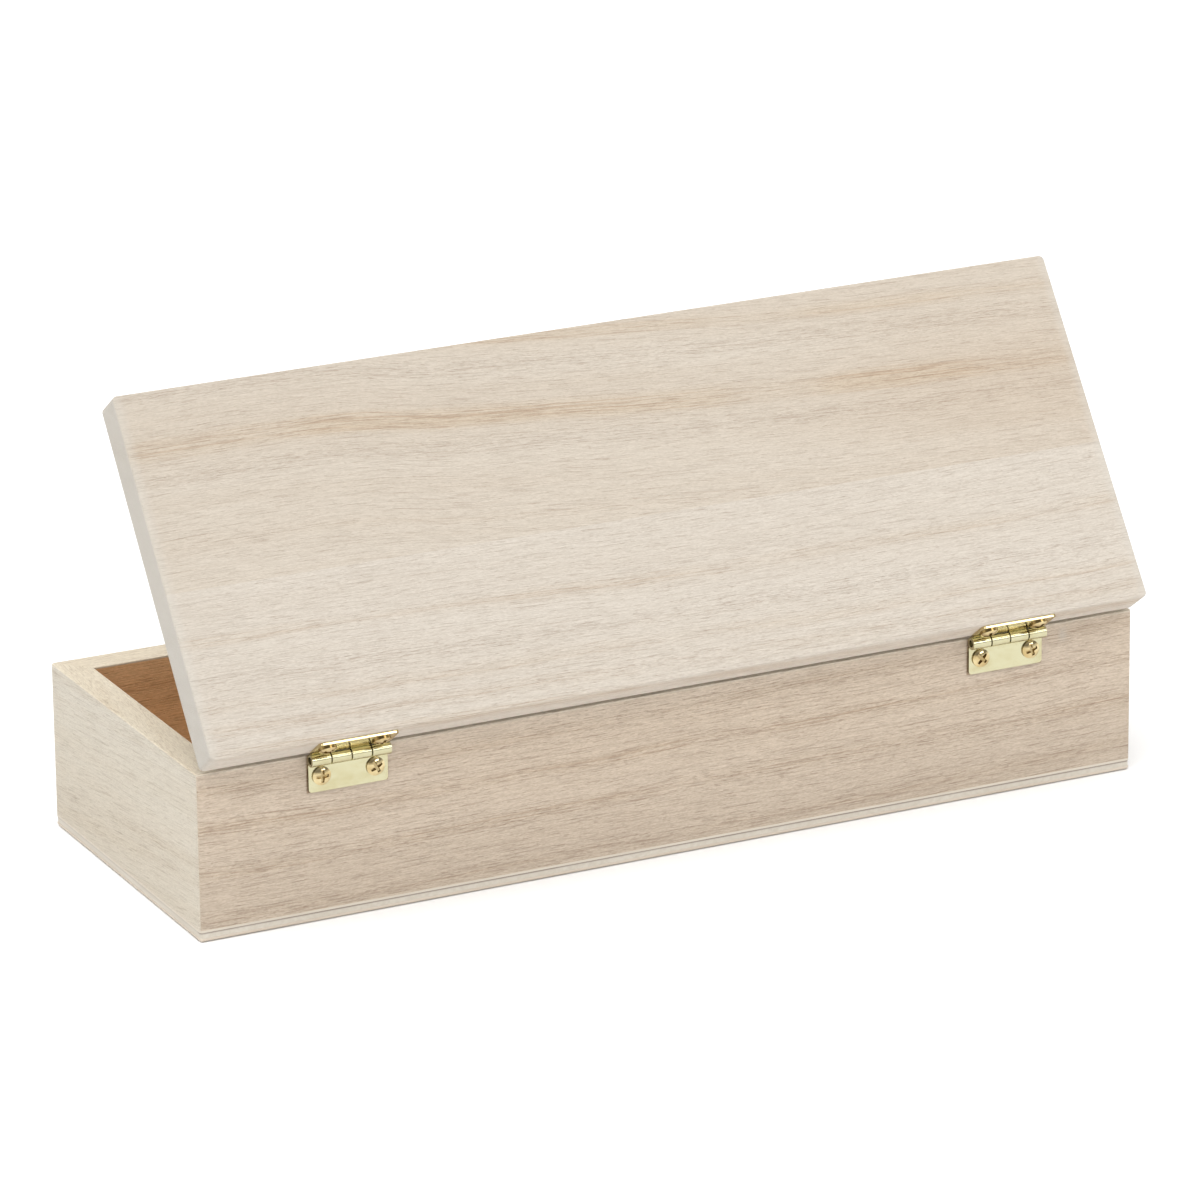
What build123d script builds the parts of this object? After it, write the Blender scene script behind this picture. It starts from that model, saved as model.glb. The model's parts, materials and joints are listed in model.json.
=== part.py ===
from build123d import *
import math
import os

os.makedirs("parts", exist_ok=True)

# A long, low box of light wood with a two-board lid on two small brass hinges.
# +Z is up, X runs along the box, the hinges are on the +Y side, and the origin is
# the centre of the underside. The lid stands open in the rest position.
# Lengths are in millimetres and angles in degrees.

# Box
box_length = 300.0
box_width = 106.0
box_height = 50.0
wall_thickness = 9.5
bottom_thickness = 3.5
corner_round = 0.9
rim_round = 0.4
underside_round = 0.7

# Lid
lid_length = 299.0
lid_width = 108.5
lid_thickness = 10.5
lid_rear_board_width = 49.0
lid_corner_round = 1.6
lid_edge_round = 0.6
lid_open_angle = 54.0

# Hinges: a leaf on the box and a leaf on the lid, rolled round one pin
hinge_centres = {"right": 104.0, "left": -107.0}
hinge_width = 24.4
leaf_reach = 10.0
leaf_thickness = 0.8
leaf_corner_round = 1.0
knuckle_count = 4
knuckle_gap = 0.45
knuckle_radius = 1.85
knuckle_clearance = 0.3
neck_reach = 1.9
pin_radius = 1.0
pin_clearance = 0.05
pin_recess = 0.9
pin_end_round = 0.2
pin_offset = 2.05
pin_drop = 1.0

# Screws
screw_spacing = 16.6
screw_from_pin = 5.3
screw_length = 8.0
screw_core_radius = 0.9
screw_thread_radius = 1.2
screw_thread_pitch = 1.0
screw_thread_width = 0.4
screw_thread_count = 6
screw_point_length = 1.6
leaf_hole_radius = 1.35
head_radius = 2.75
head_height = 1.3
head_rim_height = 0.5
recess_span = 3.9
recess_width = 1.05
recess_depth = 0.8
recess_taper = 10.0
recess_turn = 27.5

# The pin axis is just outside the back wall and just below its rim.
pin_y = box_width / 2 + pin_offset
pin_z = box_height - pin_drop

# Each side of the hinge has a frame on the pin axis. Its Y axis points out of the wood
# that the leaf is screwed to, and its Z axis points from the box to the closed lid.
box_frame = Plane(origin=(0, pin_y, pin_z), x_dir=(1, 0, 0), z_dir=(0, 0, 1))
lid_frame = box_frame.rotated((-lid_open_angle, 0, 0))
frames = {"box": box_frame, "lid": lid_frame}

# A leaf reaches down from the pin on the box and up from it on the lid.
reach_signs = {"box": -1, "lid": 1}


def write(part, label):
    """Label one finished piece and write its STEP file."""
    part.label = label
    export_step(part, f"parts/{label}.step")


def screw_places(hinge):
    """X of the outer and the inner screw of one hinge."""
    centre = hinge_centres[hinge]
    outward = math.copysign(screw_spacing / 2, centre)
    return {"outer": centre + outward, "inner": centre - outward}


def screw_seat(side, x):
    """Plane on the wood where a screw enters, with its Z axis out of the wood."""
    frame = frames[side]
    place = (x, -pin_offset, reach_signs[side] * screw_from_pin)
    return Plane(origin=frame.from_local_coords(place), x_dir=frame.x_dir, z_dir=frame.y_dir)


def screw_seats(side):
    """The four places where screws enter the wood on one side of the hinges."""
    return [screw_seat(side, x) for hinge in hinge_centres for x in screw_places(hinge).values()]


# Bottom panel: a thin plywood sheet glued under the walls, flush all round.
with BuildPart() as bottom_panel:
    with BuildSketch():
        RectangleRounded(box_length, box_width, corner_round)
    extrude(amount=bottom_thickness)
    fillet(bottom_panel.faces().sort_by(Axis.Z)[0].edges(), underside_round)
write(bottom_panel.part, "bottom_panel")


def mitred_wall(length, distance, turn):
    """A wall with both ends mitred, on the +Y side of the box turned by an angle.

    Its outer face is the given distance from the centre of the box.
    """
    plane = Plane.XY.offset(bottom_thickness).rotated((0, 0, turn))
    inner_end = length / 2 - wall_thickness
    inner_face = distance - wall_thickness
    arc_centre = (length / 2 - corner_round, distance - corner_round)
    with BuildPart() as wall:
        with BuildSketch(plane):
            with BuildLine():
                corner = CenterArc(arc_centre, corner_round, 45, 45)
                far_corner = mirror(corner, about=Plane.YZ)
                Line((arc_centre[0], distance), (-arc_centre[0], distance))
                Polyline(corner @ 0, (inner_end, inner_face), (-inner_end, inner_face), far_corner @ 0)
            make_face()
        extrude(amount=box_height - bottom_thickness)
        rim = wall.faces().sort_by(Axis.Z)[-1]
        fillet(rim.edges().filter_by(Axis(plane.origin, plane.x_dir)), rim_round)
    return wall


front_wall = mitred_wall(box_length, box_width / 2, 180)
write(front_wall.part, "front_wall")

left_wall = mitred_wall(box_width, box_length / 2, 90)
write(left_wall.part, "left_wall")

right_wall = mitred_wall(box_width, box_length / 2, 270)
write(right_wall.part, "right_wall")

# Back wall: a mitred wall with a pilot hole for each hinge screw.
back_wall = mitred_wall(box_length, box_width / 2, 0)
with back_wall:
    with Locations(*screw_seats("box")):
        Hole(screw_core_radius, depth=screw_length)
write(back_wall.part, "back_wall")


def lid_board(near_side, far_side):
    """A lid board between two distances from the lid's hinged edge.

    All its edges are rounded, apart from those at the seam between the two boards.
    """
    underside = lid_frame.offset(pin_drop)
    at_hinges = near_side == 0
    with BuildPart() as board:
        with BuildSketch(underside):
            with Locations((0, -pin_offset - (near_side + far_side) / 2)):
                Rectangle(lid_length, far_side - near_side)
            corners = vertices().sort_by(Axis.Y)
            fillet(corners[-2:] if at_hinges else corners[:2], lid_corner_round)
        extrude(amount=lid_thickness)
        across = Axis(underside.origin, underside.y_dir)
        seam = board.faces().sort_by(across)[0 if at_hinges else -1]
        outline = board.faces().filter_by(underside).edges()
        fillet(outline - seam.edges(), lid_edge_round)
    return board


lid_front_board = lid_board(lid_rear_board_width, lid_width)
write(lid_front_board.part, "lid_front_board")

# Rear board of the lid: it carries the hinges, so it has the other pilot holes.
lid_rear_board = lid_board(0, lid_rear_board_width)
with lid_rear_board:
    with Locations(*screw_seats("lid")):
        Hole(screw_core_radius, depth=screw_length)
write(lid_rear_board.part, "lid_rear_board")

# Hinge barrels: four knuckles, the one at the +X end on the lid and then in turn.
knuckle_pitch = (hinge_width + knuckle_gap) / knuckle_count
knuckle_length = knuckle_pitch - knuckle_gap
knuckle_places = [(hinge_width - knuckle_length) / 2 - knuckle_pitch * slot for slot in range(knuckle_count)]
knuckles = {"lid": knuckle_places[0::2], "box": knuckle_places[1::2]}


def hinge_leaf(side, hinge):
    """A flat plate with two knuckles and two screw holes, on the pin axis."""
    frame = frames[side]
    sign = reach_signs[side]
    centre = hinge_centres[hinge]
    plate_front = pin_offset - leaf_thickness
    # The plate stops clear of the other leaf's knuckles, which turn past its edge.
    plate_start = math.sqrt((knuckle_radius + knuckle_clearance) ** 2 - plate_front**2)
    plate_length = leaf_reach - plate_start
    plate_middle = -(pin_offset + plate_front) / 2
    neck_middle = -(knuckle_radius + plate_front) / 2
    with BuildPart(frame) as leaf:
        with Locations((centre, plate_middle, sign * (plate_start + plate_length / 2))):
            Box(hinge_width, leaf_thickness, plate_length)
        outward = Axis(frame.origin, frame.z_dir * sign)
        through_edges = leaf.edges().filter_by(Axis(frame.origin, frame.y_dir))
        fillet(through_edges.sort_by(outward)[-2:], leaf_corner_round)
        for place in knuckles[side]:
            with Locations((centre + place, 0, 0)):
                Cylinder(knuckle_radius, knuckle_length, rotation=(0, 90, 0))
            with Locations((centre + place, neck_middle, sign * neck_reach / 2)):
                Box(knuckle_length, knuckle_radius - plate_front, neck_reach)
        with Locations((centre, 0, 0)):
            Cylinder(pin_radius + pin_clearance, hinge_width, rotation=(0, 90, 0), mode=Mode.SUBTRACT)
        for x in screw_places(hinge).values():
            with Locations((x, plate_middle, sign * screw_from_pin)):
                Cylinder(leaf_hole_radius, leaf_thickness, rotation=(90, 0, 0), mode=Mode.SUBTRACT)
    return leaf


for hinge in hinge_centres:
    for side in frames:
        leaf = hinge_leaf(side, hinge)
        write(leaf.part, f"{hinge}_hinge_{side}_leaf")

# Hinge pins: each is shorter than its barrel, so the barrel's ends are hollow.
for hinge, centre in hinge_centres.items():
    with BuildPart(box_frame) as pin:
        with Locations((centre, 0, 0)):
            Cylinder(pin_radius, hinge_width - 2 * pin_recess, rotation=(0, 90, 0))
        fillet(pin.edges().filter_by(GeomType.CIRCLE), pin_end_round)
    write(pin.part, f"{hinge}_hinge_pin")


def screw_outline():
    """Half of a screw's section from its point to its head's rim, as (radius, height) points."""
    thread_start = screw_point_length - screw_length
    points = [(0, -screw_length), (screw_core_radius, thread_start)]
    for turn in range(screw_thread_count):
        foot = thread_start + turn * screw_thread_pitch
        points.append((screw_core_radius, foot + screw_thread_width / 2))
        points.append((screw_thread_radius, foot + screw_thread_width))
        points.append((screw_core_radius, foot + screw_thread_width * 3 / 2))
    points.append((screw_core_radius, leaf_thickness))
    points.append((head_radius, leaf_thickness))
    points.append((head_radius, leaf_thickness + head_rim_height))
    return points


def hinge_screw(side, x, recess_angle):
    """A small wood screw with a low domed head and a cross recess."""
    seat = screw_seat(side, x)
    head_top = leaf_thickness + head_height
    with BuildPart() as screw:
        with BuildSketch(Plane(origin=seat.origin, x_dir=seat.x_dir, z_dir=-seat.y_dir)):
            with BuildLine():
                side_line = Polyline(*screw_outline())
                dome_end = (0, head_top)
                TangentArc(dome_end, side_line @ 1, tangent=(1, 0), tangent_from_first=True)
                Line(dome_end, side_line @ 0)
            make_face()
        revolve(axis=Axis(seat.origin, seat.z_dir))
        with BuildSketch(seat.offset(head_top)):
            Rectangle(recess_span, recess_width, rotation=recess_angle)
            Rectangle(recess_width, recess_span, rotation=recess_angle)
        extrude(amount=-recess_depth, taper=recess_taper, mode=Mode.SUBTRACT)
    return screw


recess_angle = 0.0
for hinge in hinge_centres:
    for side in frames:
        for place, x in screw_places(hinge).items():
            screw = hinge_screw(side, x, recess_angle)
            write(screw.part, f"{hinge}_hinge_{side}_screw_{place}")
            recess_angle += recess_turn
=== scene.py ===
import json
import math

import bmesh
import bpy
from mathutils import Matrix, Vector


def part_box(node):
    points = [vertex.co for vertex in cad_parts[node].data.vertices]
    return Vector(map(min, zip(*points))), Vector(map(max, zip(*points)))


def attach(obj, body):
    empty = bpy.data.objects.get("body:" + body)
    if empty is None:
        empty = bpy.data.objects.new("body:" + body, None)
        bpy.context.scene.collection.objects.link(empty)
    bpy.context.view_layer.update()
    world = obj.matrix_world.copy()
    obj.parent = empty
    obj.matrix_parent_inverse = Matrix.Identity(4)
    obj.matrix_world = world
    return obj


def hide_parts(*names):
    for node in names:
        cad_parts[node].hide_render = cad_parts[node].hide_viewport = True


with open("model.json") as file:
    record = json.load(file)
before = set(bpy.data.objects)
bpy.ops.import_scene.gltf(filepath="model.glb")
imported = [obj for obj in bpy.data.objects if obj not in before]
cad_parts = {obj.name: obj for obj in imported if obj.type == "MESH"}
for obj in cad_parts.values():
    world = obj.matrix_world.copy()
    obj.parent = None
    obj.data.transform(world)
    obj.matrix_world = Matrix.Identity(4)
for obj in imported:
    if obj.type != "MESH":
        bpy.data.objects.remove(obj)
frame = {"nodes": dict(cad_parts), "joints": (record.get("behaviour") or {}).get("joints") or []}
bpy.context.view_layer.update()

# A long, low box of raw light wood with its lid standing open, seen from behind, where
# two small brass hinges join them. Places in the scene are in metres. Sizes in the
# materials are in millimetres where a name ends in _mm or a comment says so.
METRES_TO_MM = 1000.0

# Camera: angles in degrees. It looks from the front, at -Y, where the azimuth is 0, and
# from +X where it is 90.
VIEW_AZIMUTH = 153.852
VIEW_ELEVATION = 18.932
VIEW_ROLL = -0.618
VIEW_DISTANCE = 2.114
VIEW_TARGET = Vector((-0.0095, -0.0162, 0.0547))
LENS_MM = 215.31
SENSOR_MM = 36.0
VIEW_DEPTH = 50.0

# Light: a white surround that is dimmer above the horizon and bright overhead, one broad
# light from above, a soft box high on the camera's right, and a low strip light under it
# that draws a line along the hinge barrels. The surround is (sine of height, strength).
SURROUND_BY_HEIGHT = ((0.0, 0.88), (0.11, 0.88), (0.18, 0.36), (0.5, 0.38), (0.72, 0.9), (1.0, 1.15))
SURROUND_PEAK = 1.2
KEY_DIRECTION = Vector((0.36, 0.14, 0.90))
KEY_DISTANCE = 2.0
KEY_STRENGTH = 2.1
KEY_SPREAD = math.radians(60)
SOFT_BOX_DIRECTION = Vector((-0.42, 0.57, 0.71))
SOFT_BOX_DISTANCE = 2.4
SOFT_BOX_SIZE = 0.8
SOFT_BOX_POWER = 9.5
STRIP_DIRECTION = Vector((-0.42, 0.84, 0.36))
STRIP_DISTANCE = 4.0
STRIP_LENGTH = 1.8
STRIP_HEIGHT = 0.55
STRIP_POWER = 16.5

UP = Vector((0, 0, 1))
DOWN = Vector((0, 0, -1))
FORWARD = Vector((0, -1, 0))
BACKWARD = Vector((0, 1, 0))
RIGHT = Vector((1, 0, 0))
LEFT = Vector((-1, 0, 0))

# The lid's own axes are the box's, turned about the pin by the angle that it stands open.
hinge_joint = frame["joints"][0]
pin_axis = Vector(hinge_joint["pos_m"])
lid_open_angle = math.radians(-hinge_joint["range_deg"][0])
lid_turn = Matrix.Rotation(-lid_open_angle, 3, "X")


def extent(node, turn=Matrix.Identity(3), origin=Vector()):
    """Lowest and highest corner of a CAD node, measured along turned axes from an origin."""
    points = [turn.transposed() @ (v.co - origin) for v in frame["nodes"][node].data.vertices]
    low = Vector(min(p[i] for p in points) for i in range(3))
    high = Vector(max(p[i] for p in points) for i in range(3))
    return low, high


class Graph:
    """The nodes of one material, with short calls for the ones that it needs."""

    def __init__(self, name):
        self.material = bpy.data.materials.new(name)
        self.material.use_nodes = True
        self.tree = self.material.node_tree
        self.tree.nodes.clear()
        self.shader = self.node("BsdfPrincipled")
        output = self.node("OutputMaterial")
        self.tree.links.new(self.shader.outputs[0], output.inputs["Surface"])

    def node(self, kind, inputs=None, **settings):
        node = self.tree.nodes.new("ShaderNode" + kind)
        for name, value in settings.items():
            setattr(node, name, value)
        for name, value in (inputs or {}).items():
            self.put(node.inputs[name], value)
        return node

    def put(self, socket, value):
        """Link a socket to another node's output, or give it a constant."""
        if isinstance(value, bpy.types.NodeSocket):
            self.tree.links.new(value, socket)
        else:
            socket.default_value = value

    def math(self, operation, *values):
        return self.node("Math", dict(enumerate(values)), operation=operation).outputs[0]

    def minus(self, first, second):
        return self.math("SUBTRACT", first, second)

    def add(self, *values):
        total = values[0]
        for value in values[1:]:
            total = self.math("ADD", total, value)
        return total

    def times(self, *values):
        product = values[0]
        for value in values[1:]:
            product = self.math("MULTIPLY", product, value)
        return product

    def vector(self, x, y, z):
        return self.node("CombineXYZ", {"X": x, "Y": y, "Z": z}).outputs[0]

    def place(self):
        """Sockets for X, Y and Z of the shaded point at rest, in metres."""
        split = self.node("SeparateXYZ", {"Vector": self.node("TexCoord").outputs["Object"]})
        return split.outputs["X"], split.outputs["Y"], split.outputs["Z"]

    def ramp(self, value, start, end, low=0.0, high=1.0):
        """low before start and high after end, with a smooth step between them."""
        inputs = {"Value": value, "From Min": start, "From Max": end, "To Min": low, "To Max": high}
        return self.node("MapRange", inputs, interpolation_type="SMOOTHSTEP").outputs[0]

    def bump_at(self, value, centre, half_width):
        """1 where value is at centre, and 0 once it is half_width away."""
        away = self.math("ABSOLUTE", self.minus(value, centre))
        return self.ramp(away, 0.0, half_width, 1.0, 0.0)

    def mix(self, amount, first, second, blend="MIX"):
        node = self.node("Mix", data_type="RGBA", blend_type=blend)
        self.put(node.inputs[0], amount)
        self.put(node.inputs[6], self.colour(first))
        self.put(node.inputs[7], self.colour(second))
        return node.outputs[2]

    def tint(self, amount, colour, by):
        """Multiply a colour by another one, as far as amount says."""
        return self.mix(amount, colour, by, "MULTIPLY")

    def colour(self, value):
        return value if isinstance(value, bpy.types.NodeSocket) else (*value, 1.0)

    def grey(self, value):
        return self.node("CombineColor", {"Red": value, "Green": value, "Blue": value}).outputs[0]

    def noise(self, point, detail=2.0, roughness=0.5):
        inputs = {"Vector": point, "Scale": 1.0, "Detail": detail, "Roughness": roughness}
        return self.node("TexNoise", inputs).outputs["Fac"]

    def curve(self, value, points):
        """A smooth curve through (x, y) points between 0 and 1."""
        node = self.node("FloatCurve", {"Value": value})
        set_curve(node.mapping, points)
        return node.outputs[0]

    def finish(self, colour, roughness, height=None, depth=0.0, bump_strength=1.0):
        """Wire up the shader. depth is the height in metres of a height of 1."""
        self.put(self.shader.inputs["Base Color"], colour)
        self.put(self.shader.inputs["Roughness"], roughness)
        if height is not None:
            inputs = {"Height": height, "Distance": depth, "Strength": bump_strength}
            bump = self.node("Bump", inputs)
            self.put(self.shader.inputs["Normal"], bump.outputs[0])
        return self.material


def set_curve(mapping, points):
    """Make a node's curve go through (x, y) points."""
    line = mapping.curves[0]
    for x, y in points[1:-1]:
        line.points.new(x, y)
    line.points[0].location = points[0]
    line.points[-1].location = points[-1]
    mapping.update()


class Board:
    """Where a board's wood lies: mm along the grain, across it, and into the wood from its face."""

    def __init__(self, corner, across, into):
        along = across.cross(into)
        columns = Matrix((along, across, into)).transposed()
        self.place = Matrix.Translation(corner) @ columns.to_4x4()

    def coordinates(self, graph):
        """Sockets for mm along, across and into this board at the shaded point."""
        to_board = self.place.inverted()
        point = graph.node("TexCoord").outputs["Object"]
        mapping = graph.node("Mapping", {"Vector": point})
        mapping.inputs["Location"].default_value = to_board.translation * METRES_TO_MM
        mapping.inputs["Rotation"].default_value = to_board.to_euler()
        mapping.inputs["Scale"].default_value = (METRES_TO_MM,) * 3
        split = graph.node("SeparateXYZ", {"Vector": mapping.outputs[0]})
        return split.outputs["X"], split.outputs["Y"], split.outputs["Z"]


# Wood colours, as linear light. A TINT multiplies the wood's colour, and a LOSS is how
# much of it goes where that kind of noise is at its darkest.
LID_PALE = (0.514, 0.459, 0.388)
LID_TAN = (0.464, 0.395, 0.317)
REAR_PALE = (0.532, 0.483, 0.419)
REAR_TAN = (0.494, 0.437, 0.368)
BACK_PALE = (0.568, 0.478, 0.382)
BACK_TAN = (0.505, 0.411, 0.314)
END_PALE = (0.620, 0.574, 0.486)
END_TAN = (0.581, 0.512, 0.408)
END_GRAIN = (0.515, 0.487, 0.437)
RING_GLOW = (0.480, 0.352, 0.205)
RING_BROWN = (0.330, 0.220, 0.135)
PORE_BROWN = (0.230, 0.152, 0.103)
INSIDE_PAINTED_SHADE_TINT = (1.28, 0.90, 0.59)
INSIDE_FLOOR_PAINTED_SHADE_TINT = (0.98, 0.80, 0.60)
RIM_PAINTED_LIGHT_TINT = (1.14, 1.11, 1.05)
BACK_RIM_PAINTED_LIGHT_TINT = (1.08, 1.18, 1.26)
LID_EDGE_PAINTED_HIGHLIGHT_TINT = (1.11, 1.11, 1.12)
LID_PATCH_TINT = (0.93, 0.88, 0.83)
LEAF_PAINTED_SHADOW_TINT = (0.62, 0.54, 0.46)
GRAIN_LOSS = (0.085, 0.095, 0.105)
GRAIN_GAIN = 0.055
FUZZ_LOSS = (0.125, 0.135, 0.145)

RAW_WOOD_ROUGHNESS = 0.62
RAW_WOOD_SPECULAR = 0.3
WOOD_RELIEF = 0.00015
WOOD_RELIEF_STRENGTH = 0.7

# Noise drawn out along the grain: length and width of its features in mm, detail, roughness
FIGURE = (280, 14, 2, 0.5)
STREAKS = (110, 2.8, 3, 0.6)
GLOW_PATCHES = (60, 12, 1, 0.5)
THREADS = (90, 0.6, 2, 0.5)
HAIRS = (24, 0.42, 1, 0.5)
GRAIN = (6, 0.36, 2, 0.6)
DASHES = (9, 0.40, 1, 0.5)
FLECKS = (2.4, 0.38, 1, 0.5)
FUZZ = (1.1, 0.30, 1, 0.5)

# Growth rings: half the width in mm over which each one glows and is porous, how far the
# rings wander in mm, and how far they move across for each mm into the wood
GLOW_REACH_MM = 3.0
POROUS_REACH_MM = 4.5
WIDE_WANDER_MM = 5.0
NARROW_WANDER_MM = 1.0
RING_TILT = 0.6

# Pores: the noise value at which they start where there is no ring, how much lower that
# is on a ring, the rise in noise over which they fade in, and how dark they are
LONG_PORE_START = 0.61
LONG_PORE_RING_DROP = 0.06
LONG_PORE_FADE = 0.07
LONG_PORE_STRENGTH = 0.34
SHORT_PORE_START = 0.62
SHORT_PORE_RING_DROP = 0.09
SHORT_PORE_FADE = 0.08
SHORT_PORE_STRENGTH = 0.30
HAIR_START = 0.61
HAIR_FADE = 0.07
HAIR_STRENGTH = 0.22
DARKEST_PORE = 0.55


def ring_profile(g, position, rings):
    """How strongly the growth rings show at a position in mm: as a brown glow, and as pores.

    rings lists each ring as (position, glow strength, pore strength).
    """
    glow_total = 0.0
    pore_total = 0.0
    for centre, glow, pores in rings:
        if glow:
            near = g.bump_at(position, centre, GLOW_REACH_MM)
            glow_total = g.add(glow_total, g.times(near, glow))
        if pores:
            near = g.bump_at(position, centre, POROUS_REACH_MM)
            pore_total = g.add(pore_total, g.times(near, pores))
    return glow_total, pore_total


def centred_noise(g, x, y, z):
    return g.minus(g.noise(g.vector(x, y, z)), 0.5)


def pore_darkness(g, dashes, flecks, hairs, porous, glow, coarse):
    """How dark the pores are: long and short ones, most of them on the rings, and fine lines."""
    on_rings = g.add(porous, g.times(glow, 0.8))
    long_start = g.minus(LONG_PORE_START, g.times(on_rings, LONG_PORE_RING_DROP))
    long_pores = g.ramp(g.minus(dashes, long_start), 0.0, LONG_PORE_FADE)
    short_start = g.minus(SHORT_PORE_START, g.times(porous, SHORT_PORE_RING_DROP))
    short_pores = g.ramp(g.minus(flecks, short_start), 0.0, SHORT_PORE_FADE)
    fine_lines = g.ramp(hairs, HAIR_START, HAIR_START + HAIR_FADE)
    total = g.add(g.times(long_pores, LONG_PORE_STRENGTH * coarse),
                  g.times(short_pores, SHORT_PORE_STRENGTH * coarse),
                  g.times(fine_lines, HAIR_STRENGTH * coarse))
    return g.math("MINIMUM", total, DARKEST_PORE)


def paulownia(name, board, pale, tan, rings, drift=((0, 0), (1, 0)), drift_mm=1.0,
              length_mm=300.0, slope=0.0, seed=0.0, coarse=1.0, figure_strength=0.8,
              glow_strength=0.3, ring_strength=None, finish_colour=None):
    """Raw sanded paulownia, worked out in a board's own coordinates.

    drift is how far the rings wander across the board along its length, as a curve that
    drift_mm scales. coarse says how strongly the pores show, figure_strength how much the
    wood's tone varies, and glow_strength how brown it is along a ring. ring_strength is
    how strong the rings are along the board, as a curve, where that isn't left to chance.
    """
    g = Graph(name)
    along, across, into = board.coordinates(g)

    # Growth rings wander along the board, and tilt as they go into it.
    wide = centred_noise(g, g.times(along, 1 / 130), g.times(across, 1 / 45), seed)
    narrow = centred_noise(g, g.times(along, 1 / 30), g.times(across, 1 / 12), g.add(into, seed))
    warp = g.add(g.times(wide, WIDE_WANDER_MM), g.times(narrow, NARROW_WANDER_MM))
    wander = g.times(g.curve(g.times(along, 1 / length_mm), drift), drift_mm)
    ring = g.add(g.minus(across, wander), g.times(along, slope), warp, g.times(into, RING_TILT))
    depth = g.add(g.times(into, 0.8), seed)

    def fibres(length, width, detail, roughness):
        """Noise drawn out along the grain."""
        point = g.vector(g.times(along, 1 / length), g.times(ring, 1 / width), g.times(depth, 1 / width))
        return g.noise(point, detail, roughness)

    def darker(colour, losses):
        return g.tint(1.0, colour, tuple(1.0 - loss * coarse for loss in losses))

    glow, porous = ring_profile(g, ring, rings)
    if ring_strength:
        glow = g.times(glow, g.curve(g.times(along, 1 / length_mm), ring_strength))
    else:
        glow = g.times(glow, g.ramp(fibres(*GLOW_PATCHES), 0.32, 0.52, 0.3, 1.0))
    streaks = fibres(*STREAKS)
    grain = fibres(*GRAIN)
    dashes = fibres(*DASHES)

    # The board's tone varies slowly, in wide figure and narrower streaks.
    colour = g.mix(g.ramp(fibres(*FIGURE), 0.30, 0.70, 0.0, figure_strength), pale, tan)
    colour = g.mix(g.ramp(streaks, 0.40, 0.75, 0.0, 0.35 * figure_strength), colour, tan)

    # A ring is a brown glow with broken dark threads in it.
    colour = g.mix(g.math("MINIMUM", g.times(glow, glow_strength), 0.5), colour, RING_GLOW)
    threads = g.add(fibres(*THREADS), g.times(dashes, 0.25), g.times(grain, 0.15))
    broken = g.ramp(threads, 0.67, 0.85, 0.0, 0.6)
    colour = g.mix(g.times(g.math("MINIMUM", glow, 1.0), broken), colour, RING_BROWN)

    # Fine grain, the fuzz that sanding leaves, and then the pores
    lighter = g.tint(1.0, colour, (1.0 + GRAIN_GAIN * coarse,) * 3)
    colour = g.mix(g.ramp(grain, 0.36, 0.64), darker(colour, GRAIN_LOSS), lighter)
    colour = g.mix(g.ramp(fibres(*FUZZ), 0.40, 0.62), darker(colour, FUZZ_LOSS), colour)
    dark = pore_darkness(g, dashes, fibres(*FLECKS), fibres(*HAIRS), porous, glow, coarse)
    colour = g.mix(dark, colour, PORE_BROWN)
    if finish_colour:
        colour = finish_colour(g, colour, along, across, into)

    g.shader.inputs["Specular IOR Level"].default_value = RAW_WOOD_SPECULAR
    roughness = g.ramp(streaks, 0.3, 0.7, RAW_WOOD_ROUGHNESS - 0.06, RAW_WOOD_ROUGHNESS + 0.08)
    height = g.minus(g.times(grain, 0.8), g.times(dark, 1.5))
    return g.finish(colour, roughness, height, WOOD_RELIEF, WOOD_RELIEF_STRENGTH)


def dress(node, material):
    """Give a CAD node its material."""
    for slot in frame["nodes"][node].material_slots:
        slot.material = material


# Box walls: each one's grain runs along it, and its face is the outer side of the box.
wall_extents = [extent(node) for node in ("front_wall", "back_wall", "left_wall", "right_wall")]
box_low = Vector(min(low[i] for low, high in wall_extents) for i in range(3))
box_high = Vector(max(high[i] for low, high in wall_extents) for i in range(3))
front_low, front_high = wall_extents[0]
wall_mm = (front_high.y - front_low.y) * METRES_TO_MM
wall_height_mm = (box_high.z - box_low.z) * METRES_TO_MM
MARK_ALONG_MM = 276.7
MARK_BELOW_RIM_MM = 4.0
MARK_STRENGTH = 0.7


def wall_tone(g, colour, along, across, into):
    """The inner faces get a painted warm shade for the lid's shadow and the light bounced between the walls,
    and the rim gets a painted highlight that lifts the lid's shadow on it.
    """
    # Painted warm shade on the inner faces, below the rim
    inner = g.ramp(into, wall_mm - 0.4, wall_mm - 0.1)
    below_rim = g.ramp(across, 0.4, 0.9)
    colour = g.tint(g.times(inner, below_rim), colour, INSIDE_PAINTED_SHADE_TINT)
    # Painted highlight on the rim, lifting the lid's shadow there
    rim = g.ramp(across, 0.1, 0.5, 1.0, 0.0)
    return g.tint(rim, colour, RIM_PAINTED_LIGHT_TINT)


def leaf_painted_shadow(g, leaf, along, across, into):
    """Painted shadow of a hinge leaf: 1 on the back wall's outer face under the leaf, and 0 just outside its
    outline.
    """
    low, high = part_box(leaf)
    inside = g.ramp(into, 0.1, 0.3, 1.0, 0.0)
    for position, start, end in ((along, box_high.x - high[0], box_high.x - low[0]),
                                 (across, box_high.z - high[2], box_high.z - low[2])):
        centre = (start + end) / 2 * METRES_TO_MM
        half = (end - start) / 2 * METRES_TO_MM
        away = g.math("ABSOLUTE", g.minus(position, centre))
        inside = g.times(inside, g.ramp(away, half + 0.05, half + 0.6, 1.0, 0.0))
    return inside


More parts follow.
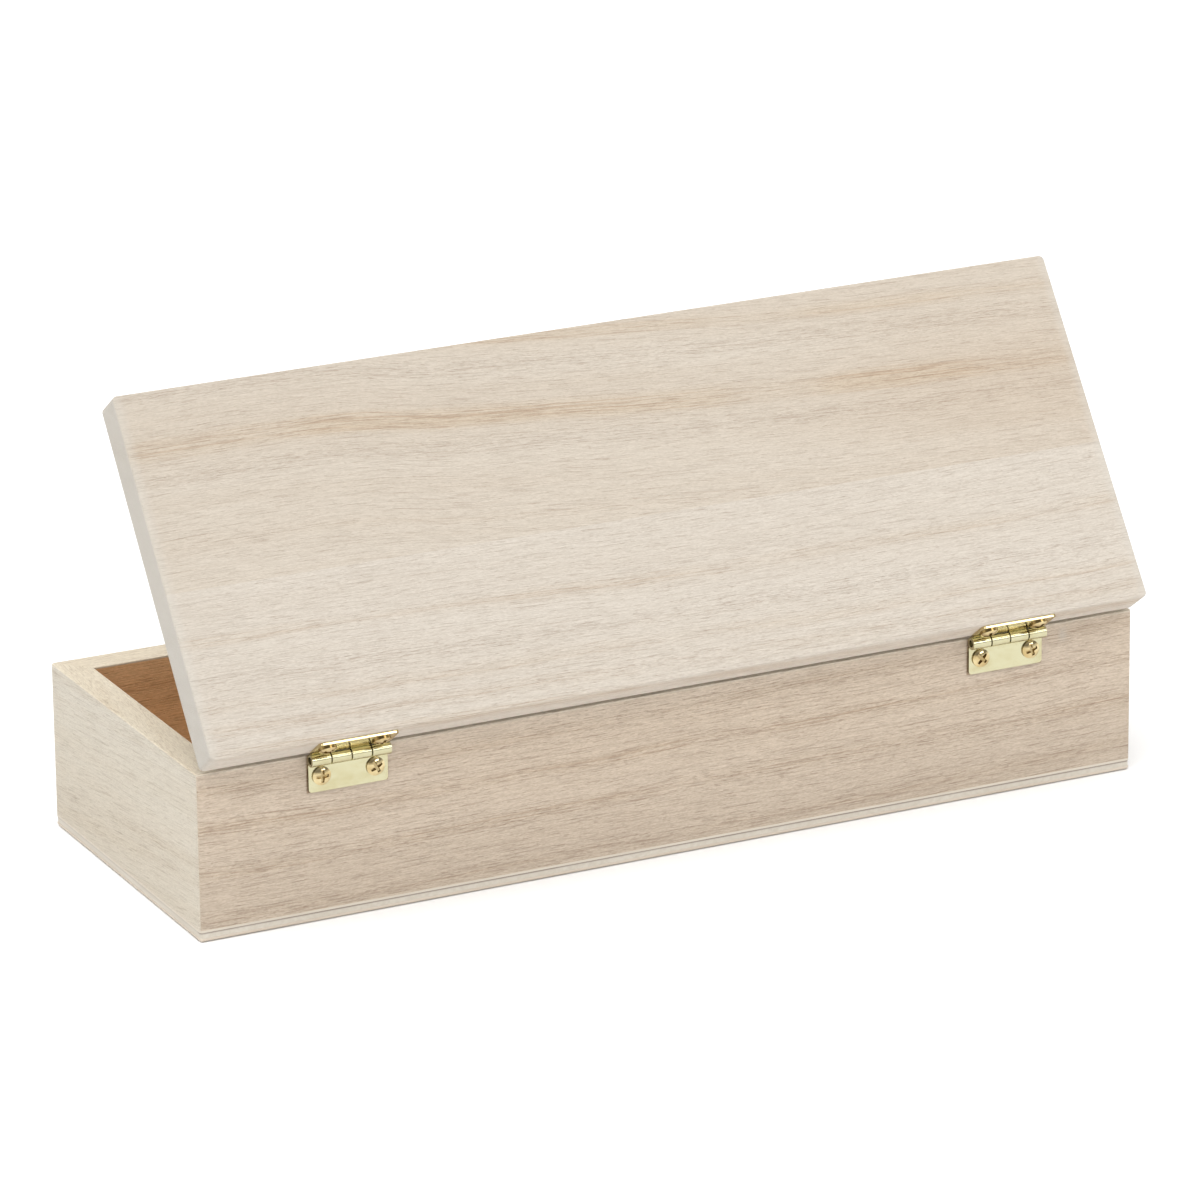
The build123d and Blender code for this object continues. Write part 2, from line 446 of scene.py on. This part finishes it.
def back_tone(g, colour, along, across, into):
    """The back wall is painted lighter towards its rim, lifting the shade under the lid, and has a small pale
    mark beside one hinge; its rim gets a painted highlight, and each hinge leaf a painted shadow round it.
    """
    # Painted light: lighter at the top and darker at the bottom, against the lid's shade
    shade = g.ramp(across, 0.0, wall_height_mm - 0.5, 1.07, 0.94)
    colour = g.tint(1.0, colour, g.grey(shade))
    mark = g.times(g.bump_at(along, MARK_ALONG_MM, 2.2), g.bump_at(across, MARK_BELOW_RIM_MM, 3.4))
    colour = g.mix(g.times(mark, MARK_STRENGTH), colour, LID_PALE)
    # Painted highlight on the back wall's rim, lifting the shadow in the gap under the lid
    colour = g.tint(g.ramp(across, 0.2, 0.7, 1.0, 0.0), colour, BACK_RIM_PAINTED_LIGHT_TINT)
    # Painted shadow round each hinge leaf on the box
    for leaf in ("right_hinge_box_leaf", "left_hinge_box_leaf"):
        colour = g.tint(leaf_painted_shadow(g, leaf, along, across, into), colour, LEAF_PAINTED_SHADOW_TINT)
    return wall_tone(g, colour, along, across, into)


def dress_walls():
    back = Board(box_high, DOWN, FORWARD)
    back_rings = [(7.0, 0.5, 0.6), (18.0, 0.65, 0.8), (31.0, 0.65, 0.8), (45.0, 0.4, 0.5)]
    drift = [(0, 0.3), (0.25, 0.2), (0.5, 0.35), (0.8, 0.75), (1, 1.0)]
    dress("back_wall", paulownia("paulownia_back", back, BACK_PALE, BACK_TAN, back_rings, drift, -4.0,
                                 seed=3.1, coarse=0.85, figure_strength=0.25, glow_strength=0.12,
                                 finish_colour=back_tone))

    front = Board(Vector((box_low.x, box_low.y, box_high.z)), DOWN, BACKWARD)
    front_rings = [(9.0, 0.3, 0.5), (22.0, 0.4, 0.4), (37.0, 0.5, 0.5)]
    dress("front_wall", paulownia("paulownia_front", front, END_PALE, END_TAN, front_rings, drift, 5.0,
                                  seed=11.7, coarse=0.8, figure_strength=0.5, glow_strength=0.15,
                                  finish_colour=wall_tone))

    right = Board(Vector((box_high.x, box_low.y, box_high.z)), DOWN, LEFT)
    left = Board(Vector((box_low.x, box_high.y, box_high.z)), DOWN, RIGHT)
    end_rings = [(4.0, 0.25, 0.6), (10.0, 0.15, 0.4), (38.0, 0.2, 0.6), (44.0, 0.25, 0.5)]
    for node, board, seed in (("right_wall", right, 21.3), ("left_wall", left, 34.9)):
        dress(node, paulownia("paulownia_" + node, board, END_PALE, END_TAN, end_rings,
                              length_mm=106.0, slope=0.10, seed=seed, coarse=0.6,
                              figure_strength=0.5, finish_colour=wall_tone))


# Lid boards share one set of coordinates: mm from the +X end, from the free edge, and
# into the wood from the outer face.
lid_low = extent("lid_front_board", lid_turn, pin_axis)[0]
lid_high = extent("lid_rear_board", lid_turn, pin_axis)[1]
lid_mm = (lid_high.x - lid_low.x) * METRES_TO_MM
lid_across_mm = (lid_high.y - lid_low.y) * METRES_TO_MM


def lid_end_tone(g, colour, along, across, into):
    """Sanded end grain on the lid's ends: smoother, and a cool grey that fades out on the faces."""
    from_middle = g.math("ABSOLUTE", g.minus(along, lid_mm / 2))
    end = g.ramp(from_middle, lid_mm / 2 - 0.35, lid_mm / 2 - 0.05, 0.0, 0.75)
    beside_end = g.ramp(from_middle, lid_mm / 2 - 4.0, lid_mm / 2 - 0.3, 0.0, 0.4)
    return g.mix(g.math("MAXIMUM", end, beside_end), colour, END_GRAIN)


def lid_rear_tone(g, colour, along, across, into):
    """The rear board's edge at the hinges gets a painted highlight along its eased arris."""
    painted_edge_highlight = g.ramp(across, lid_across_mm - 0.6, lid_across_mm - 0.1)
    colour = g.tint(painted_edge_highlight, colour, LID_EDGE_PAINTED_HIGHLIGHT_TINT)
    return lid_end_tone(g, colour, along, across, into)


def lid_front_tone(g, colour, along, across, into):
    """The front board is warmer towards one of its corners."""
    patch = g.times(g.bump_at(along, 285.0, 110.0), g.bump_at(across, 36.0, 34.0))
    colour = g.tint(g.times(patch, 0.7), colour, LID_PATCH_TINT)
    return lid_end_tone(g, colour, along, across, into)


def dress_lid():
    corner = pin_axis + lid_turn @ Vector((lid_high.x, lid_low.y, lid_high.z))
    lid = Board(corner, lid_turn @ BACKWARD, lid_turn @ DOWN)
    front_drift = [(0, 0.0), (0.18, 0.0), (0.32, 0.27), (0.6, 0.68), (1, 1.0)]
    front_rings = [(-6.0, 0.6, 0.0), (2.0, 0.0, 1.2), (15.4, 0.7, 0.4), (18.2, 0.9, 0.5), (26.0, 0.0, 1.2),
                   (47.0, 0.1, 0.4)]
    front_strength = [(0, 0.6), (0.13, 0.55), (0.22, 1.0), (0.38, 0.95), (0.50, 0.8), (0.60, 0.7),
                      (0.66, 0.3), (0.71, 0.5), (0.76, 1.0), (0.86, 0.9), (0.92, 0.4), (1, 0.35)]
    dress("lid_front_board", paulownia("paulownia_lid_front", lid, LID_PALE, LID_TAN, front_rings,
                                       front_drift, 15.5, seed=5.3, coarse=0.55, figure_strength=0.4,
                                       ring_strength=front_strength, finish_colour=lid_front_tone))
    rear_drift = [(0, 0.0), (0.35, 0.6), (0.66, 1.0), (1, 0.8)]
    rear_rings = [(74.5, 0.45, 0.4), (86.5, 0.0, 1.0), (94.0, 0.4, 0.5), (101.0, 0.3, 0.8), (107.5, 0.8, 0.5)]
    dress("lid_rear_board", paulownia("paulownia_lid_rear", lid, REAR_PALE, REAR_TAN, rear_rings,
                                      rear_drift, 3.5, seed=8.8, coarse=0.6, figure_strength=0.35,
                                      glow_strength=0.18, finish_colour=lid_rear_tone))


# Plywood bottom: two face veneers and a core that sits back a little between them. It is
# made of three pieces, which replace the CAD panel.
PLY_PALE = (0.700, 0.645, 0.550)
PLY_TAN = (0.630, 0.570, 0.475)
PLY_GLUE = (0.280, 0.230, 0.195)
LOWER_VENEER_TONE = (0.95, 0.91, 0.90)
CORE_TONE = (0.90, 0.91, 0.93)
UPPER_VENEER_TONE = (0.94, 0.935, 0.945)
CORNER_ROUND = 0.0009
UNDERSIDE_ROUND = 0.0007
UPPER_VENEER = 0.0007
LOWER_VENEER = 0.0010
CORE_SET_BACK = 0.00012
GLUE_BELOW_VENEER_MM = 0.15
GLUE_REACH_MM = 0.55
PLY_RELIEF = 0.00008
PLY_RELIEF_STRENGTH = 0.5
panel_low, panel_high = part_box("bottom_panel")


def slab(name, low, high, corner_round, bottom_round=0.0):
    """A flat board with rounded corners and, where asked, a rounded lower edge."""
    mesh = bpy.data.meshes.new(name)
    shape = bmesh.new()
    bmesh.ops.create_cube(shape, size=1.0)
    size = high - low
    for vertex in shape.verts:
        vertex.co = Vector(low[i] + (vertex.co[i] + 0.5) * size[i] for i in range(3))
    upright = [e for e in shape.edges if abs(e.verts[0].co.z - e.verts[1].co.z) > size.z / 2]
    bmesh.ops.bevel(shape, geom=upright, offset=corner_round, segments=5, profile=0.5, affect="EDGES")
    if bottom_round:
        lower = [e for e in shape.edges if max(v.co.z for v in e.verts) < low.z + size.z * 0.01]
        bmesh.ops.bevel(shape, geom=lower, offset=bottom_round, segments=4, profile=0.5, affect="EDGES")
    shape.to_mesh(mesh)
    shape.free()
    mesh.shade_smooth()
    mesh.set_sharp_from_angle(angle=math.radians(40))
    piece = bpy.data.objects.new(name, mesh)
    bpy.context.scene.collection.objects.link(piece)
    return piece


def veneer(name, grain_along_x, tone, seed, glue_height_mm=None):
    """Cut veneer: fine straight streaks along one axis, paler or darker by tone.

    The panel's upper face, which is the floor of the box, gets painted warm shade like the inside of the
    walls. glue_height_mm is where a thin grey glue line shows at the back edge.
    """
    g = Graph(name)
    x, y, z = g.place()
    along = g.times(x if grain_along_x else y, METRES_TO_MM)
    across = g.times(y if grain_along_x else x, METRES_TO_MM)
    up = g.times(z, METRES_TO_MM)
    point = g.vector(g.times(along, 1 / 30), g.times(across, 1 / 1.6), g.add(g.times(up, 1 / 1.3), seed))
    streaks = g.noise(point, 3, 0.6)
    blotches = g.noise(g.vector(g.times(along, 1 / 60), g.times(across, 1 / 25), seed), 2)
    colour = g.mix(g.ramp(streaks, 0.35, 0.7), PLY_PALE, PLY_TAN)
    colour = g.mix(g.ramp(blotches, 0.3, 0.7, 0.0, 0.5), colour, PLY_TAN)
    colour = g.tint(1.0, colour, tone)
    if glue_height_mm is not None:
        at_back = g.ramp(y, panel_high.y - 0.003, panel_high.y - 0.001, 0.3, 1.0)
        patchy = g.ramp(blotches, 0.3, 0.6, 0.8, 1.0)
        glue = g.times(g.bump_at(up, glue_height_mm, GLUE_REACH_MM), patchy, at_back)
        colour = g.mix(glue, colour, PLY_GLUE)
    top_mm = panel_high.z * METRES_TO_MM
    # Painted warm shade on the top face of the box floor
    colour = g.tint(g.ramp(up, top_mm - 0.06, top_mm - 0.02), colour, INSIDE_FLOOR_PAINTED_SHADE_TINT)
    g.shader.inputs["Specular IOR Level"].default_value = RAW_WOOD_SPECULAR
    roughness = g.ramp(streaks, 0.3, 0.7, 0.6, 0.72)
    return g.finish(colour, roughness, streaks, PLY_RELIEF, PLY_RELIEF_STRENGTH)


def plywood_layer(name, bottom, top, set_back, material, bottom_round=0.0):
    """One layer of the bottom panel, between two heights and set back from the panel's edge."""
    inset = Vector((set_back, set_back, 0))
    low = Vector((panel_low.x, panel_low.y, bottom)) + inset
    high = Vector((panel_high.x, panel_high.y, top)) - inset
    piece = slab(name, low, high, CORNER_ROUND, bottom_round)
    piece.data.materials.append(material)
    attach(piece, "box")
    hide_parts("bottom_panel")


def add_plywood_bottom():
    core_bottom = panel_low.z + LOWER_VENEER
    core_top = panel_high.z - UPPER_VENEER
    glue_height_mm = core_top * METRES_TO_MM - GLUE_BELOW_VENEER_MM
    lower = veneer("veneer_lower", True, LOWER_VENEER_TONE, 1.7)
    core = veneer("veneer_core", False, CORE_TONE, 6.2, glue_height_mm)
    upper = veneer("veneer_upper", True, UPPER_VENEER_TONE, 9.4)
    plywood_layer("plywood_lower_veneer", panel_low.z, core_bottom, 0.0, lower, UNDERSIDE_ROUND)
    plywood_layer("plywood_core", core_bottom, core_top, CORE_SET_BACK, core)
    plywood_layer("plywood_upper_veneer", core_top, panel_high.z, 0.0, upper)


# Metals: colours as linear light. The DEEP ones lie in faint smears and tiny specks.
LEAF_BRASS = (0.560, 0.533, 0.352)
LEAF_BRASS_DEEP = (0.510, 0.465, 0.280)
LID_PLATE_PAINTED_REFLECTION = (0.620, 0.520, 0.280)
CUT_EDGE_PAINTED_SHADE = (0.240, 0.180, 0.085)
SCREW_BRASS = (0.68, 0.570, 0.330)
SCREW_BRASS_DEEP = (0.50, 0.370, 0.170)
SCREW_PAINTED_SHADE = (0.190, 0.130, 0.055)
SCREW_PAINTED_SHADE_STRENGTH = 0.55
PIN_STEEL = (0.30, 0.27, 0.22)
PIN_STEEL_DARK = (0.16, 0.13, 0.10)
DRAWN_LINE_RELIEF = 0.00001
DRAWN_LINE_STRENGTH = 0.15

# Around the pin, in metres: where the painted warm reflection on the plate of a leaf starts, and how
# far below the pin the painted shade on the cut edges of a leaf on the box starts
PLATE_FROM_PIN = (0.0019, 0.0023)
SHADED_EDGES_BELOW_PIN = (0.0030, 0.0025)


def metal(name, bright, deep, roughness_low, roughness_high, seed, finish_colour=None):
    """Thin plated metal: fine drawn lines, faint smears and tiny specks."""
    g = Graph(name)
    point = g.node("TexCoord").outputs["Object"]
    mapping = g.node("Mapping", {"Vector": point, "Scale": (METRES_TO_MM,) * 3})
    split = g.node("SeparateXYZ", {"Vector": mapping.outputs[0]})
    x, y, z = split.outputs[0], split.outputs[1], split.outputs[2]
    drawn = g.noise(g.vector(g.times(x, 1 / 9), g.times(y, 1 / 0.12), g.add(g.times(z, 1 / 0.12), seed)), 2)
    smears = g.noise(g.vector(g.times(x, 1 / 5), g.times(y, 1 / 4), g.add(g.times(z, 1 / 3), seed)), 3)
    specks = g.noise(g.vector(g.times(x, 1 / 0.5), g.times(y, 1 / 0.5), g.times(z, 1 / 0.5)), 1)
    colour = g.mix(g.ramp(smears, 0.3, 0.75), bright, deep)
    colour = g.mix(g.ramp(specks, 0.70, 0.80, 0.0, 0.35), colour, deep)
    if finish_colour:
        colour = finish_colour(g, colour)
    g.shader.inputs["Metallic"].default_value = 1.0
    blend = g.add(g.times(drawn, 0.4), g.times(smears, 0.6))
    roughness = g.ramp(blend, 0.35, 0.65, roughness_low, roughness_high)
    return g.finish(colour, roughness, drawn, DRAWN_LINE_RELIEF, DRAWN_LINE_STRENGTH)


def facing(g, outward):
    """How squarely the surface faces along a direction, from -1 to 1."""
    normal = g.node("TexCoord").outputs["Normal"]
    return g.node("VectorMath", {0: normal, 1: outward}, operation="DOT_PRODUCT").outputs["Value"]


def shaded_cut_edges(g, colour):
    """The cut edges of a leaf on the box get painted shade, darker than its face."""
    x, y, z = g.place()
    start, end = SHADED_EDGES_BELOW_PIN
    below_barrel = g.ramp(z, pin_axis.z - start, pin_axis.z - end, 1.0, 0.0)
    edge = g.ramp(g.math("ABSOLUTE", facing(g, BACKWARD)), 0.3, 0.7, 1.0, 0.0)
    return g.mix(g.times(edge, below_barrel), colour, CUT_EDGE_PAINTED_SHADE)


def plate_painted_reflection(g, colour):
    """The plate of a leaf on the lid gets a painted warm reflection, warmer than its knuckles."""
    x, y, z = g.place()
    from_pin_y = g.minus(y, pin_axis.y)
    from_pin_z = g.minus(z, pin_axis.z)
    squares = g.add(g.times(from_pin_y, from_pin_y), g.times(from_pin_z, from_pin_z))
    plate = g.ramp(g.math("SQRT", squares), *PLATE_FROM_PIN)
    return g.mix(plate, colour, LID_PLATE_PAINTED_REFLECTION)


def screw_recess(outward):
    """The recess and the side of a screw's head get painted shade, darker than its dome."""
    def finish_colour(g, colour):
        out = facing(g, outward)
        sides = g.ramp(out, 0.45, 0.8, 1.0, 0.0)
        recess_floor = g.ramp(out, 0.993, 0.998)
        painted_shade = g.times(g.math("MAXIMUM", sides, recess_floor), SCREW_PAINTED_SHADE_STRENGTH)
        return g.mix(painted_shade, colour, SCREW_PAINTED_SHADE)
    return finish_colour


def dress_hinges():
    box_recess = screw_recess(BACKWARD)
    lid_recess = screw_recess(lid_turn @ BACKWARD)
    materials = {
        "_box_leaf": metal("hinge_brass_box_leaf", LEAF_BRASS, LEAF_BRASS_DEEP, 0.14, 0.24, 2.2, shaded_cut_edges),
        "_lid_leaf": metal("hinge_brass_lid_leaf", LEAF_BRASS, LEAF_BRASS_DEEP, 0.12, 0.20, 5.6, plate_painted_reflection),
        "_box_screw_": metal("screw_brass_box", SCREW_BRASS, SCREW_BRASS_DEEP, 0.08, 0.16, 4.1, box_recess),
        "_lid_screw_": metal("screw_brass_lid", SCREW_BRASS, SCREW_BRASS_DEEP, 0.08, 0.16, 4.1, lid_recess),
        "_pin": metal("pin_steel_rod", PIN_STEEL, PIN_STEEL_DARK, 0.30, 0.45, 7.3),
    }
    for node in frame["nodes"]:
        for part, material in materials.items():
            if "hinge" + part in node:
                dress(node, material)


FLOOR_HALF = 8.0
FLOOR_BELOW = 0.0002
FLOOR_WHITES = ((0.90, 0.90, 0.90), (0.92, 0.92, 0.92))
FLOOR_ROUGHNESS = 0.9
FLOOR_CLOUDS_PER_METRE = 3


def add_floor():
    """A plain pale floor, wide enough to fill every view."""
    below = panel_low.z - FLOOR_BELOW
    mesh = bpy.data.meshes.new("studio_floor")
    corners = [(-1, -1), (1, -1), (1, 1), (-1, 1)]
    mesh.from_pydata([(x * FLOOR_HALF, y * FLOOR_HALF, below) for x, y in corners], [], [(0, 1, 2, 3)])
    floor = bpy.data.objects.new("studio_floor", mesh)
    bpy.context.scene.collection.objects.link(floor)
    g = Graph("studio_floor_white")
    point = g.node("TexCoord").outputs["Object"]
    mapping = g.node("Mapping", {"Vector": point, "Scale": (FLOOR_CLOUDS_PER_METRE,) * 3})
    colour = g.mix(g.noise(mapping.outputs[0]), *FLOOR_WHITES)
    g.shader.inputs["Specular IOR Level"].default_value = 0.0
    mesh.materials.append(g.finish(colour, FLOOR_ROUGHNESS))


def add_surround():
    """White light from all round, by height above the horizon."""
    world = bpy.data.worlds.new("studio_surround")
    bpy.context.scene.world = world
    world.use_nodes = True
    nodes = world.node_tree.nodes
    links = world.node_tree.links
    direction = nodes.new("ShaderNodeTexCoord").outputs["Generated"]
    split = nodes.new("ShaderNodeSeparateXYZ")
    links.new(direction, split.inputs[0])
    by_height = nodes.new("ShaderNodeFloatCurve")
    links.new(split.outputs["Z"], by_height.inputs["Value"])
    points = [(height, strength / SURROUND_PEAK) for height, strength in SURROUND_BY_HEIGHT]
    set_curve(by_height.mapping, points)
    scale = nodes.new("ShaderNodeMath")
    scale.operation = "MULTIPLY"
    scale.inputs[1].default_value = SURROUND_PEAK
    links.new(by_height.outputs[0], scale.inputs[0])
    links.new(scale.outputs[0], nodes["Background"].inputs["Strength"])
    nodes["Background"].inputs["Color"].default_value = (1.0, 1.0, 1.0, 1.0)


def add_lamp(name, kind, direction, distance, **settings):
    """A lamp at a distance in a direction, pointing at the origin."""
    data = bpy.data.lights.new(name, kind)
    for setting, value in settings.items():
        setattr(data, setting, value)
    lamp = bpy.data.objects.new(name, data)
    lamp.location = direction.normalized() * distance
    lamp.rotation_euler = direction.to_track_quat("Z", "Y").to_euler()
    bpy.context.scene.collection.objects.link(lamp)


def add_lamps():
    add_lamp("key_light", "SUN", KEY_DIRECTION, KEY_DISTANCE, energy=KEY_STRENGTH, angle=KEY_SPREAD)
    add_lamp("soft_box", "AREA", SOFT_BOX_DIRECTION, SOFT_BOX_DISTANCE, energy=SOFT_BOX_POWER,
             size=SOFT_BOX_SIZE)
    add_lamp("strip_light", "AREA", STRIP_DIRECTION, STRIP_DISTANCE, energy=STRIP_POWER,
             shape="RECTANGLE", size=STRIP_LENGTH, size_y=STRIP_HEIGHT)


def add_camera():
    azimuth, elevation, roll = map(math.radians, (VIEW_AZIMUTH, VIEW_ELEVATION, VIEW_ROLL))
    level = math.cos(elevation)
    back = Vector((math.sin(azimuth) * level, -math.cos(azimuth) * level, math.sin(elevation)))
    right = (-back).cross(UP).normalized()
    up = right.cross(-back)
    turned_right = math.cos(roll) * right + math.sin(roll) * up
    turned_up = -math.sin(roll) * right + math.cos(roll) * up
    data = bpy.data.cameras.new("camera")
    data.sensor_width = SENSOR_MM
    data.lens = LENS_MM
    data.clip_end = VIEW_DEPTH
    camera = bpy.data.objects.new("camera", data)
    turn = Matrix((turned_right, turned_up, back)).transposed()
    camera.matrix_world = Matrix.Translation(VIEW_TARGET + back * VIEW_DISTANCE) @ turn.to_4x4()
    bpy.context.scene.collection.objects.link(camera)
    bpy.context.scene.camera = camera


dress_walls()
dress_lid()
add_plywood_bottom()
dress_hinges()
add_floor()
add_surround()
add_lamps()
add_camera()
bpy.context.scene.view_settings.view_transform = "Standard"

bpy.context.view_layer.update()
